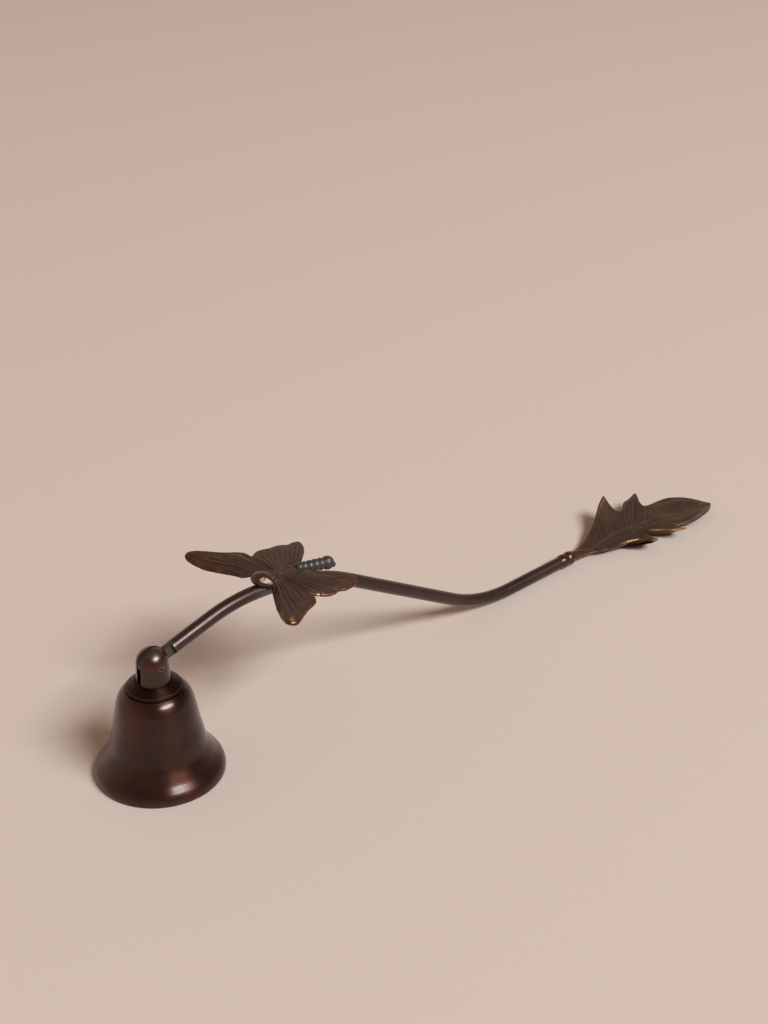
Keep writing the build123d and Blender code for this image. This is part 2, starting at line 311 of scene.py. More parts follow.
# Grooves along the veins: depth, how narrow they are, how far they wander, in veins, and how much they vary.
# A pair is an amount and the size of its clouds.
vein_depth = 0.5
vein_sharpness = 2.0
vein_wander = (0.3, 1.3)
vein_waver = (0.13, 7)
vein_strength = 0.85
strength_by_vein = (0.5, 0.37)
strength_by_place = (0.3, 6)
vein_length = 0.8
length_by_vein = (0.16, 0.61)
branch_depth = 0.22
branch_sharpness = 5
margin_width = 2.2
under_relief = 0.3
# Height and size of the plate's swells, and of its grain
wing_swell = (0.35, 11)
wing_grain = (0.07, 1.6)
# The gap between the rolled edge's streaks, how much rim and streaks are rubbed, and the far side's red
rim_streak_gap = 1.3
rim_wear = 0.55
streak_wear = 0.5
far_side_redness = 0.6
# The forewing lies this much over the hindwing, and the far one's tip turns up.
forewing_step = 0.45
far_tip_lift = 1.2
wing_columns = 280
wing_crowding = 0.6
curve_steps = 24
# Each entry is a point of the outline, where its vein starts on the body, and the vein's number there.
forewing_veins = [
    ((-7.5, 3.9), -5.5, 0.0), ((-11.0, 11.0), -4.6, 0.0), ((-13.6, 15.5), -4.0, 0.3),
    ((-16.0, 20.0), -3.5, 0.9), ((-18.2, 24.5), -3.1, 1.6), ((-19.6, 28.0), -2.8, 2.2),
    ((-18.8, 29.9), -2.5, 2.8), ((-16.2, 30.3), -2.2, 3.4), ((-11.0, 27.0), -1.7, 4.8),
    ((-6.5, 24.4), -1.3, 6.0), ((-2.5, 22.6), -1.0, 7.1), ((0.2, 20.6), -0.7, 7.9),
    ((0.8, 18.4), -0.6, 8.3), ((0.6, 16.9), -0.5, 8.6),
]
hindwing_veins = [
    ((0.6, 16.9), -0.5, 8.6), ((4.6, 19.6), 0.3, 9.8), ((8.2, 20.0), 1.1, 11.0),
    ((10.8, 19.5), 1.8, 11.9), ((13.5, 20.0), 2.5, 12.8), ((16.2, 19.5), 3.2, 13.7),
    ((18.2, 18.4), 3.9, 14.5), ((20.8, 19.1), 4.5, 15.3), ((23.3, 18.8), 5.1, 16.1),
    ((23.8, 17.2), 5.7, 16.7), ((22.2, 13.6), 6.6, 17.6), ((19.8, 10.5), 7.4, 18.4),
    ((16.2, 7.1), 8.5, 19.2), ((12.7, 4.4), 10.2, 20.0),
]
# Where the near wings' outline differs: the place of each numbered point
near_forewing_places = {
    0: (-6.7, 3.9), 1: (-10.8, 10.8), 2: (-13.8, 15.5),
    11: (-0.7, 20.6), 12: (-0.2, 18.6), 13: (-0.4, 17.4),
}
near_hindwing_places = {
    0: (-0.4, 17.4), 1: (4.0, 20.4), 2: (7.6, 20.7),
    6: (18.4, 19.0), 7: (20.2, 17.9), 8: (21.7, 16.5), 9: (22.4, 15.2),
}
# The share of the way out of each row of points: close together at the body's ridges and at the rim
wing_rows = [step / 60 for step in range(13)]
wing_rows += [0.24, 0.29, 0.34, 0.39, 0.44, 0.49, 0.54, 0.59, 0.64, 0.69, 0.74]
wing_rows += [0.78, 0.82, 0.855, 0.885, 0.91, 0.93, 0.95, 0.965, 0.978, 0.988, 0.995, 1.0]
# Places where the patina is rubbed through to brass or has turned red, with how far each reaches
wing_brass_spots = [((-18.0, -28.9), 1.25), ((1.9, -18.6), 0.65), ((3.4, -19.2), 0.5), ((9.6, -18.9), 0.4)]
wing_red_spots = [((20.5, -15.5), 5.5), ((-17.0, -28.0), 4.5), ((-14.0, 20.0), 3.0), ((-17.0, 27.0), 2.5)]
# A small boss that the near forewing's tip carries, rubbed to brass
boss_place = (-17.4, -28.2)
boss_reach = 1.8
boss_height = 0.35
# The low ridges that run along the thorax, between the wings
thorax_swell = 0.55
thorax_half_width = 3.0
thorax_ends = (-3.5, 7.5)
ridge_gap = 0.95
ridge_height = 0.26
ridge_waver = 0.1
ridge_ends = (-3.0, 6.0)
ridge_sides = (-0.9, 3.2)


def wing_stations(side):
    """One side's outline, front to back: each place on it, where its vein starts, and the vein's number."""
    fore_places, hind_places = (near_forewing_places, near_hindwing_places) if side < 0 else ({}, {})
    fore, hind = (
        [(*places.get(i, place), start, 0.0, vein) for i, (place, start, vein) in enumerate(veins)]
        for places, veins in ((fore_places, forewing_veins), (hind_places, hindwing_veins))
    )
    front = (wing_front, 0.0, wing_front, 0.0, 0.0)
    back = (wing_back, 0.0, wing_back, 0.0, hind[-1][4])
    line = [front] + rounded_line(fore, curve_steps)[:-1] + rounded_line(hind, curve_steps) + [back]
    return evenly(line, wing_columns, wing_crowding)


def thorax_height(x, y):
    """How far the thorax stands above the wings' plate: a low swelling with fine lengthwise ridges."""
    swell = thorax_swell * (1 - ease(abs(y), 0, thorax_half_width)) * between(x, *thorax_ends, 2.5)
    ridge = wave((y + ridge_waver * sin(x)) / ridge_gap)
    return swell + ridge_height * ridge * between(x, *ridge_ends, 1.5) * between(y, *ridge_sides, 0.5)


def make_wing_side(side):
    """Fore and hind wing of one side: an upper and an under skin that meet at the rim."""
    stations = wing_stations(side)
    distance_to_edge = edge_finder(stations[1:-1])
    last_vein = hindwing_veins[-1][2]
    notch = forewing_veins[-1][2]

    def plan(column, row):
        x, y, start, _, vein = stations[column]
        v = wing_rows[row]
        edge = distance_to_edge(start + (x - start) * v, y * v) if v < 1 else 0.0
        return start + (x - start) * v, y * v, v, vein, edge

    def grooves(x, y, v, vein, edge):
        """Broad soft ridges with narrow grooves between them, each groove with its own depth and length."""
        crooked = vein + uneven(vein, 0, vein_wander, 5.0 * side) + uneven(x, y, vein_waver, 3.0 * side)
        number = round(crooked)
        strength = vein_strength + uneven(number, 0, strength_by_vein, 9.0 + side)
        strength += uneven(x, y, strength_by_place, 2.0 + side)
        length = vein_length + uneven(number, 0, length_by_vein, 14.0 + side)
        main = wave(crooked) ** vein_sharpness * strength * (1 - ease(v, length - 0.12, length + 0.1))
        branch = (1 - wave(crooked)) ** branch_sharpness * ease(v, 0.3, 0.5)
        branch *= max(cloud(x, y, 5, 7.0 + side) + 0.3, 0)
        reach = ease(v, 0.1, 0.26) * between(vein, 0.9, last_vein - 0.9, 0.6)
        reach *= ease(edge, 0.5, margin_width)
        return (vein_depth * main + branch_depth * branch) * reach

    def skin(column, row, upper):
        """A point of the wings' upper or under side."""
        x, y, v, vein, edge = plan(column, row)
        lead = (1 - ease(vein, 0.9, leading_veins)) * ease(y, 3.5, 9.0)
        height = -(y**2) / (2 * wing_arch_radius)
        height -= lead * leading_droop * max(1 - edge / leading_width, 0) ** 2
        height += uneven(x, y, wing_swell, 20.0 + side) * ease(v, 0.1, 0.6)
        height += uneven(x, y, wing_grain, 30.0 + side) * ease(y, 1, 4)
        if side > 0:
            height += far_tip_lift * ease(y, 22, 30) * ease(vein, 1.2, 3.4)
        else:
            gap = sqrt((x - boss_place[0]) ** 2 + (y + boss_place[1]) ** 2)
            height += boss_height * (1 - ease(gap, 0, boss_reach)) * upper
        over = forewing_step * (1 - ease(vein, notch - 0.3, notch + 0.05)) * ease(v, 0.2, 0.45)
        drop = rounding(edge, wing_edge_round)
        if upper:
            height += wing_under + wing_thickness + thorax_height(x, side * y)
            height += over * min(edge, 1.0) - grooves(x, y, v, vein, edge) - drop
        else:
            height += wing_under + under_relief * grooves(x, y, v, vein, edge) + drop
        return Vector((x, side * y, height)) * mm

    def marks(column, row):
        """Brass on spots and the rim, dark grooves, streaks along the leading edge, and red margins."""
        x, y, v, vein, edge = plan(column, row)
        worn_rim = rim_wear * (1 - ease(edge, 0.1, 0.8)) * max(0.3 + cloud(x, y, 2, 4.0), 0)
        worn_rim *= ease(y, 5, 9)
        rubbed = max(spot_mark(x, side * y, wing_brass_spots, 1.5), worn_rim)
        leading = between(edge, 0.3, 4.2, 0.7) * (1 - ease(vein, 2.0, 4.0)) * ease(y, 6, 11)
        streak = wave(edge / rim_streak_gap + 3 * cloud(x, y, 5, 33.0) / (2 * pi))
        rubbed = max(rubbed, streak_wear * (1 - streak) * leading * max(0.3 + cloud(x, y, 3, 44.0), 0))
        streak *= leading
        sunk = min(max(grooves(x, y, v, vein, edge) / vein_depth, 0.9 * streak), 1.0)
        margin = (1 - ease(edge, 0.5, 3.0)) * ease(y, 4, 8)
        margin *= 0.6 + 0.6 * cloud(x, y, 4, 6.0 + side)
        if side > 0:
            margin *= far_side_redness
        reddened = max(spot_mark(x, side * y, wing_red_spots, 8.0), margin, 0)
        return rubbed, sunk, min(reddened, 1.0)

    rows = len(wing_rows) - 1
    return [shaped_sheet(wing_columns, rows, partial(skin, upper=upper), marks) for upper in (True, False)]


def make_wings(finish):
    wings = settle(joined("butterfly_wings_veined", make_wing_side(1) + make_wing_side(-1)), seat)
    stands_for(wings, "butterfly_wings", "handle", finish)


# Butterfly's body, in millimetres from the seat
head_centre = (-7.8, 0.3, 1.25)
head_radius = 3.85
head_flatten = 0.64
head_floor = 0.1
head_point = Vector((0.27, -0.95, -0.12))
head_point_reach = 0.45
head_point_pull = 1.7
head_point_softness = 3.2
head_facet = Vector((-0.325, -0.66, 0.68))
head_facet_depth = 3.0
# Where the head ends and the casting turns lumpy
head_end = -4.5
# Small drops of metal beside the head: place and radius
body_drops = [((-3.9, -1.3, 1.75), 0.75), ((-2.2, -1.7, 1.75), 0.7), ((-4.5, -3.1, 1.0), 1.15)]
keel_centre = (1.4, 0, 0.1)
keel_size = (22.5, 3.4, 2.6)
keel_bevel = 0.9
abdomen_front = (7.0, 0, 1.9)
abdomen_droop = radians(4.5)
# The abdomen's rounded start, along it and out from its axis, and its rings behind that
abdomen_start = [(0.0, 0.9), (0.12, 1.4)]
abdomen_rings_start = 0.25
abdomen_rings = 5
abdomen_ring_length = 2.5
abdomen_ring_steps = 8
abdomen_start_radius = 2.05
abdomen_end_radius = 2.15
abdomen_unevenness = 0.25
abdomen_cleft = 0.7
abdomen_cleft_width = 0.6
abdomen_bulb_radius = 2.5
abdomen_bulb_reach = 2.3
abdomen_nub_radius = 1.15
abdomen_nub_drop = 1.0
abdomen_nub_stretch = 1.25
body_grain = 0.13


def make_head():
    """A smooth round head with a flat facet, drawn out to a point at the side, and planed where it sits."""
    centre = Vector(head_centre)
    head = ball(head_centre, head_radius, head_flatten)
    corner = centre + head_point.normalized() * head_radius
    pick(head, lambda point: (point - corner).length < head_point_reach)
    bpy.ops.transform.translate(
        value=head_point.normalized() * head_point_pull * mm,
        use_proportional_edit=True,
        proportional_edit_falloff="SHARP",
        proportional_size=head_point_softness * mm,
    )
    bpy.ops.object.mode_set(mode="OBJECT")
    facet = head_facet.normalized()
    cut_off(head, centre + facet * head_facet_depth, facet)
    cut_off(head, (0, 0, head_floor), (0, 0, -1))
    return head


def abdomen_lines():
    """Along the abdomen and out from its axis: a rounded start, then the rings, one after the other."""
    line = list(abdomen_start)
    for step in range(abdomen_rings * abdomen_ring_steps + 1):
        ring = min(step // abdomen_ring_steps, abdomen_rings - 1)
        passed = step / abdomen_ring_steps
        bulge = sin(pi * (passed - ring))
        crest = abdomen_start_radius + (abdomen_end_radius - abdomen_start_radius) * passed / abdomen_rings
        crest += abdomen_unevenness * noise.noise(Vector((ring * 1.7, 0.4, 0))) * bulge
        cleft = abdomen_cleft * (1 - bulge**abdomen_cleft_width)
        line.append((abdomen_rings_start + passed * abdomen_ring_length, crest - cleft))
    return line


def make_abdomen():
    """Rings, a bulb at the end and a nub low on the bulb, all drooping behind the wings."""
    x, y, z = abdomen_front
    rings = drawn_out([(x + along, y, z, out) for along, out in abdomen_lines()])
    bulb_centre = Vector((x + abdomen_rings * abdomen_ring_length + abdomen_bulb_reach, y, z))
    nub_reach = abdomen_nub_stretch * sqrt(abdomen_bulb_radius**2 - abdomen_nub_drop**2)
    bulb = ball(bulb_centre, abdomen_bulb_radius)
    nub = ball(bulb_centre + Vector((nub_reach, 0, -abdomen_nub_drop)), abdomen_nub_radius)
    front = Vector(abdomen_front) * mm
    lean = Matrix.Translation(front) @ Matrix.Rotation(abdomen_droop, 4, "Y") @ Matrix.Translation(-front)
    return [settle(part, lean) for part in (rings, bulb, nub)]


def make_keel():
    """The bar under the wings that fills the space down to the rod."""
    clear_selection()
    bpy.ops.mesh.primitive_cube_add(size=mm, location=Vector(keel_centre) * mm, scale=keel_size)
    bpy.ops.object.transform_apply(location=True, rotation=False, scale=True)
    keel = bpy.context.object
    pick(keel, lambda point: True)
    bpy.ops.mesh.bevel(offset=keel_bevel * mm, segments=5, affect="EDGES")
    bpy.ops.object.mode_set(mode="OBJECT")
    return keel


def body_marks(point):
    """A point's marks, from its place in millimetres: clefts are sunk and the head's back is red."""
    along = point.x - abdomen_front[0] - abdomen_rings_start
    cleft = wave(along / abdomen_ring_length) * between(along, 0, abdomen_rings * abdomen_ring_length, 0.3)
    back_of_head = ease(point.y, -0.5, 1.5) * (1 - ease(point.x, -6, -4))
    lumpy = 0.5 + 0.7 * noise.noise(point * 0.9)
    return 0.0, cleft, max(back_of_head * lumpy, 0)


def set_marks(piece, marks):
    """Sets each point's marks to what marks(place in millimetres) gives."""
    layers = mark_layers(piece.data)
    for vertex in piece.data.vertices:
        for layer, amount in zip(layers, marks(vertex.co / mm)):
            layer.data[vertex.index].value = amount


def make_body(finish):
    drops = [ball(place, radius) for place, radius in body_drops]
    body = joined("butterfly_body_cast", [make_head(), make_keel()] + drops + make_abdomen())
    modified(body, "REMESH", mode="VOXEL", voxel_size=body_grain * mm)
    pick(body, lambda point: point.x > head_end)
    bpy.ops.object.vertex_group_assign_new()
    bpy.ops.object.mode_set(mode="OBJECT")
    body.vertex_groups[0].name = "behind_head"
    cast_lumps(body, "casting_lumps", size=1.5, depth=0.26, part="behind_head")
    body.vertex_groups.clear()
    modified(body, "SMOOTH", factor=0.5, iterations=5)
    bpy.ops.object.shade_smooth()
    set_marks(body, body_marks)
    stands_for(settle(body, seat), "butterfly_body", "handle", finish)


# Leaf, in millimetres from the end of the rod. x runs along the leaf and y out to the side. Each point lies
# on a vein, at a share v of the way from the midrib to the outline.
leaf_start = 205.456
leaf_length = 88.5
leaf_crease = 50
leaf_thickness = 1.4
table_gap = 0.25
trough_radius = 27.0
trough_roll = radians(8)
trough_pitch = radians(1)
leaf_edge_round = 0.5
# How much the near side's rim is thickened, and how suddenly it curls up
rim_bead = 0.75
rim_curl = 3.2
# How far the plate thins towards its rim, and over which width
leaf_thinning = 0.3
leaf_thinning_width = 5.0
# Height and size of the plate's swells, and of its grain
leaf_swell = (0.35, 9)
leaf_grain = (0.05, 1.3)
# Veins: gap, height and extra height at the tip, how narrow they are, how far they wander, in gaps, how much
# their height varies, how wide a margin they leave and how far they lean back
leaf_vein_gap = 1.5
leaf_vein_height = 0.24
tip_vein_growth = 0.6
leaf_vein_sharpness = 1.4
leaf_vein_wander = (0.3, 2.3)
leaf_vein_waver = (0.16, 4)
leaf_vein_strength = 0.75
leaf_strength_by_vein = (0.6, 0.53)
leaf_strength_by_place = (0.45, 3.5)
leaf_margin = 1.2
tip_margin_growth = 1.6
margin_by_vein = (0.7, 0.31)
leaf_vein_slant = 0.9
tip_vein_slant = 1.7
outline_steps = 30
outline_crowding = 1.4
leaf_columns = 460
leaf_rows = [0, 0.03, 0.07, 0.12, 0.18, 0.25, 0.32, 0.4, 0.48, 0.56, 0.64]
leaf_rows += [0.71, 0.77, 0.82, 0.87, 0.91, 0.94, 0.965, 0.985, 1]
# Stretches of the outline from the rod to the tip, each from the sharp corner that ends the one before to the
# next. The third number is how far the rim curls up above the trough, where it does.
back_edge = [
    [(6.5, 2.2), (14.5, 3.8), (23.2, 7.4), (29.9, 10.5), (37.0, 14.6), (42.3, 16.7), (43.3, 16.4)],
    [(43.6, 13.5), (44.3, 11.1), (45.7, 10.1)],
    [(48.0, 10.0)],
    [(50.2, 11.6), (51.7, 12.3), (55.0, 12.6), (59.1, 13.4), (60.4, 13.6), (60.9, 13.2)],
    [(60.4, 11.6), (59.7, 10.2), (59.5, 8.6), (60.1, 7.6)],
    [(63.3, 7.2), (68.3, 7.1), (73.3, 6.8), (77.3, 5.8), (82.5, 3.3), (86.3, -0.6), (88.5, -7.0)],
]
front_edge = [
    [(6.5, -2.0), (13.3, -3.1, 0.7), (19.0, -5.8, 1.7), (26.0, -8.2, 2.5), (31.6, -9.9, 2.6),
     (35.2, -12.9, 2.3), (36.6, -17.8, 1.5), (37.3, -18.0, 1.4)],
    [(41.5, -11.5, 0.6), (43.3, -5.2, 1.5)],
    [(46.3, -7.8, 2.2), (51.0, -15.0, 1.5), (53.8, -19.4, -0.2), (54.5, -19.5, -0.3)],
    [(56.5, -15.5, -0.3), (58.7, -11.5)],
    [(61.0, -12.8), (64.7, -14.5), (68.5, -14.9), (74.7, -13.5), (80.1, -11.9), (85.0, -9.4), (88.5, -7.0)],
]
midrib = [(0, 0), (15, -0.9), (24, -0.7), (35, 0.3), (42, -0.4), (50, -0.8)]
midrib += [(59.4, -2.8), (65.6, -5.2), (73, -7.0), (88.5, -7.0)]
midrib_depth = 0.35
midrib_half_width = 1.8
midrib_darkness = 0.8
# How much the near rim, the tips on it and the far rim are rubbed, and how dark the near side's painted shade
# is
near_rim_wear = 0.2
near_tip_wear = 0.8
far_rim_wear = 0.12
near_side_painted_shade = 0.5


def midrib_side(along):
    """How far to the side the midrib lies."""
    for (x0, y0), (x1, y1) in zip(midrib, midrib[1:]):
        if along <= x1:
            return y0 + (y1 - y0) * (along - x0) / (x1 - x0)
    return midrib[-1][1]


def trough(along, across, depth):
    """A point of the leaf's hollow surface, or depth below it, measured square to it."""
    centre_across = -trough_radius * sin(trough_roll)
    centre_up = table_gap + leaf_thickness + (leaf_length - along) * sin(trough_pitch) + trough_radius
    out = across - centre_across
    down = sqrt(trough_radius**2 - out**2)
    grown = (trough_radius + depth) / trough_radius
    return Vector((along, centre_across + out * grown, centre_up - down * grown))


def leaf_stations(edge):
    """The outline of one half: each point, the place on the midrib where its vein starts, and its curl."""
    line = []
    corner = []
    for stretch in edge:
        points = corner + [(*point, 0.0)[:3] for point in stretch]
        line += rounded_line(points, outline_steps)[len(corner) :]
        corner = points[-1:]
    stations = []
    furthest = line[0][0]
    for x, y, curl in line:
        slant = leaf_vein_slant + (tip_vein_slant - leaf_vein_slant) * ease(x, 58, 70)
        start = x - slant * abs(y - midrib_side(x)) * (1 - ease(x, 78, leaf_length))
        furthest = max(furthest, min(start, x))
        stations.append((x, y, furthest, midrib_side(furthest), curl))
    x, y, curl = line[0]
    stations[0] = (x, y, x, midrib_side(x), curl)
    return evenly(stations, leaf_columns, outline_crowding)


def make_leaf_half(stations, side, distance_to_edge):
    """One side of the leaf: an upper and an under skin that meet at the rim."""
    seed = 7.0 * side

    def plan(column, row):
        x, y, start_x, start_y, curl = stations[column]
        v = leaf_rows[row]
        x, y = start_x + (x - start_x) * v, start_y + (y - start_y) * v
        edge_gap = distance_to_edge(x, y) if v < 1 else 0.0
        return x, y, v, start_x, curl * v**rim_curl, edge_gap

    def veins(x, y, v, start, edge_gap):
        """Fine uneven ridges that stop short of the margin, and the valleys between them."""
        crooked = start / leaf_vein_gap + uneven(start, 0, leaf_vein_wander, seed)
        crooked += uneven(x, y, leaf_vein_waver, seed)
        ridge = wave(crooked) ** leaf_vein_sharpness
        number = round(crooked)
        strength = leaf_vein_strength + uneven(number, 0, leaf_strength_by_vein, seed + 5)
        strength += uneven(x, y, leaf_strength_by_place, seed + 9)
        margin = leaf_margin + tip_margin_growth * ease(x, 58, 66)
        margin += uneven(number, 0, margin_by_vein, seed + 2)
        reach = ease(v, 0.06, 0.16) * ease(edge_gap, margin - 0.7, margin + 0.5)
        reach *= 1 - ease(x, 56, 64) * (1 - ease(abs(y - midrib_side(x)), 1.0, 4.5))
        return ridge * reach * max(strength, 0.15), (1 - ridge) * reach

    def fold(x, y):
        """The soft groove along the leaf's middle."""
        width = midrib_half_width * (1 - 0.5 * ease(x, 10, 80))
        return max(1 - ((y - midrib_side(x)) / width) ** 2, 0.0) ** 2 * between(x, 20, 48, 12)

    def skin(column, row, upper):
        """A point of the leaf's upper or under side."""
        x, y, v, start, curl, edge_gap = plan(column, row)
        bead = rim_bead * ease(curl, 0.15, 1.2) * (1 - ease(edge_gap, 1.2, 3.0))
        drop = rounding(edge_gap, leaf_edge_round + 0.4 * bead)
        thin = leaf_thinning * (1 - ease(edge_gap, 0.4, leaf_thinning_width))
        if upper:
            ridge, _ = veins(x, y, v, start, edge_gap)
            tall = leaf_vein_height * (1 + tip_vein_growth * ease(x, 60, 68))
            depth = drop + thin - tall * ridge + midrib_depth * fold(x, y)
            depth += uneven(x, y, leaf_grain, 12.0) * min(edge_gap, 1)
        else:
            depth = leaf_thickness - thin - drop + bead
        if edge_gap == 0.0:
            depth = (leaf_thickness + bead) / 2
        swell = uneven(x, y, leaf_swell, 20.0) * ease(x, 20, 30) * min(edge_gap / 6, 1)
        return (Vector((leaf_start, 0, curl + swell)) + trough(x, y, depth)) * mm

    def marks(column, row, upper):
        """Brass on the rim, dark valleys and midrib, painted shade on the near side, and red at the stem, the
        margins and the curled rim.
        """
        x, y, v, start, curl, edge_gap = plan(column, row)
        wear = far_rim_wear
        if side < 0:
            tips = max(between(x, 30, 38, 6), between(x, 47, 56, 3))
            wear = (near_rim_wear * ease(x, 12, 20) + near_tip_wear * tips) * (x < 57)
        wear *= 0.85 + 0.5 * cloud(x, y, 3, seed)
        rubbed = wear * (1 - ease(edge_gap, 0.1, 0.5 if upper else 0.3))
        margin = (1 - ease(edge_gap, 0.8, 3.2)) * (0.45 + 0.6 * cloud(x, y, 5, seed + 3))
        outside = ease(curl, 0.1, 0.8) * (1 - ease(edge_gap, 0.8, 2.5))
        near_stem = 1 - ease(x, 10, 22)
        _, valley = veins(x, y, v, start, edge_gap)
        middle = (1 - ease(abs(y - midrib_side(x)), 0.4, 1.6)) * ease(x, 12, 24)
        sunk = max(valley, midrib_darkness * middle)
        # Painted shade: the near half is darkened from 16 to 46 mm along the leaf.
        if side < 0:
            sunk = max(sunk, near_side_painted_shade * between(x, 16, 46, 8))
        return max(rubbed, 0), sunk, min(max(margin, outside, near_stem, 0), 1)

    rows = len(leaf_rows) - 1
    return [
        shaped_sheet(leaf_columns, rows, partial(skin, upper=upper), partial(marks, upper=upper))
        for upper in (True, False)
    ]


# Leaf's stem: places from the end of the rod, along, to the side and up, each with its radius
stem_rings = [
    (0.0, 0.0, 3.15, 2.49), (3.0, 0.0, 3.12, 2.4), (6.0, -0.1, 3.05, 2.15), (10.0, -0.4, 2.6, 1.8),
    (16.0, -0.8, 1.65, 1.2), (24.0, -0.8, 1.35, 0.9), (36.0, 0.2, 1.2, 0.8), (50.0, -0.8, 1.1, 0.7),
]


def make_stem():
    """The bar that runs from the rod under the leaf's middle and tapers off."""
    rings = [(leaf_start + x, y, z, radius) for x, y, z, radius in stem_rings]
    stem = drawn_out(rounded_line(rings, steps=6))
    set_marks(stem, lambda point: (0.0, 0.0, 1 - ease(point.x - leaf_start, 9, 20)))
    return stem


def make_leaf(finish):
    back, front = leaf_stations(back_edge), leaf_stations(front_edge)
    distance_to_edge = edge_finder(back, front)
    parts = make_leaf_half(back, 1, distance_to_edge) + make_leaf_half(front, -1, distance_to_edge)
    parts.append(make_stem())
    stands_for(joined("leaf_veined", parts, crease=leaf_crease), "leaf", "handle", finish)


# Braze ring between the rod and the leaf, in millimetres from the joint
braze_height = 3.15
braze_half_length = 3.8
braze_radius = 2.53
braze_bulge = 0.3
braze_waist = 0.1
braze_end_step = 0.06
braze_lean = radians(-1.14)
braze_steps = 36


def make_leaf_braze(finish):
    """Two uneven swellings round the joint, with a waist between them."""
    rings = []
    for step in range(braze_steps + 1):
        along = -1 + 2 * step / braze_steps
        swell = braze_bulge * sin(pi * abs(along)) ** 1.2 + braze_waist * (1 - along**2)
        if step in (0, braze_steps):
            swell = -braze_end_step
        rings.append((braze_half_length * along, 0.0, 0.0, braze_radius + swell))
    ring = drawn_out(rings, sides=48)
    cast_lumps(ring, "braze_lumps", size=1.8, depth=0.3)
    joint = Matrix.Translation(Vector((leaf_start, 0, braze_height)) * mm)
    lean = Matrix.Rotation(braze_lean, 4, "Y")
    ring = settle(joined("leaf_braze_lumpy", [ring], crease=leaf_crease), joint @ lean)
    stands_for(ring, "leaf_braze", "handle", finish)


def node(tree, kind, inputs, **settings):
    """Adds a node, with each input set to a value or linked from a socket."""
    made = tree.nodes.new(kind)
    for name, value in settings.items():
        setattr(made, name, value)
    for name, value in inputs.items():
        if isinstance(value, bpy.types.NodeSocket):
            tree.links.new(value, made.inputs[name])
        else:
            made.inputs[name].default_value = value
    return made


def mottling(tree, place, scale, detail=4.0, low=0.35, high=0.65, stretch=(1, 1, 1)):
    """A noise between 0 and 1, with features of about 1/scale metres."""
    mapped = node(tree, "ShaderNodeMapping", {"Vector": place, "Scale": stretch}).outputs["Vector"]
    settings = {"Vector": mapped, "Scale": scale, "Detail": detail, "Roughness": 0.6}
    return ranged(tree, node(tree, "ShaderNodeTexNoise", settings).outputs["Fac"], low, high)


def ranged(tree, value, low, high):
    """0 where the value is low and 1 where it is high. Low may be the larger."""
    settings = {"Value": value, "From Min": low, "From Max": high}
    return node(tree, "ShaderNodeMapRange", settings).outputs["Result"]


def coordinate(tree, place, axis):
    return node(tree, "ShaderNodeSeparateXYZ", {"Vector": place}).outputs[axis]


def change(tree, length, start_and_end):
    """0 where the length is at the change's start and 1 at its end, both in millimetres."""
    start, end = start_and_end
    return ranged(tree, length, start * mm, end * mm)


# The colour sockets of Blender's mix node: its two inputs and its output
mix_first, mix_second, mix_result = 6, 7, 2


def blended(tree, share, first, second):
    """A colour mix by a share from 0 to 1."""
    mix = node(tree, "ShaderNodeMix", {"Factor": share}, data_type="RGBA")
    for socket, value in ((mix.inputs[mix_first], first), (mix.inputs[mix_second], second)):
        if isinstance(value, bpy.types.NodeSocket):
            tree.links.new(value, socket)
        else:
            socket.default_value = (*value, 1)
    return mix.outputs[mix_result]


def scaled(tree, value, factor, plus=0.0, clamp=False):
    settings = {0: value, 1: factor, 2: plus}
    return node(tree, "ShaderNodeMath", settings, operation="MULTIPLY_ADD", use_clamp=clamp).outputs[0]


def both(tree, first, second):
    """The product of two shares from 0 to 1."""
    return scaled(tree, first, second, clamp=True)


def vectors(tree, operation, *inputs, output="Vector"):
    return node(tree, "ShaderNodeVectorMath", dict(enumerate(inputs)), operation=operation).outputs[output]


def new_material(name):
    """A material, its nodes, its shader and the place on the object, from which its looks are worked out."""
    material = bpy.data.materials.new(name)
    material.use_nodes = True
    tree = material.node_tree
    place = node(tree, "ShaderNodeTexCoord", {}).outputs["Object"]
    return material, tree, tree.nodes["Principled BSDF"], place


# Specks, grain and turning rings to a metre
speck_scale = 900.0
grain_scale = 2600.0
turning_scale = 1500.0
# How strongly the marks and specks show, and what they do to the roughness
speck_darkness = 0.3
redness = 0.75
speck_dullness = 0.12
red_dullness = -0.16
brass_dullness = -0.2
lacquer_lost = 0.65
grain_depth = 0.15


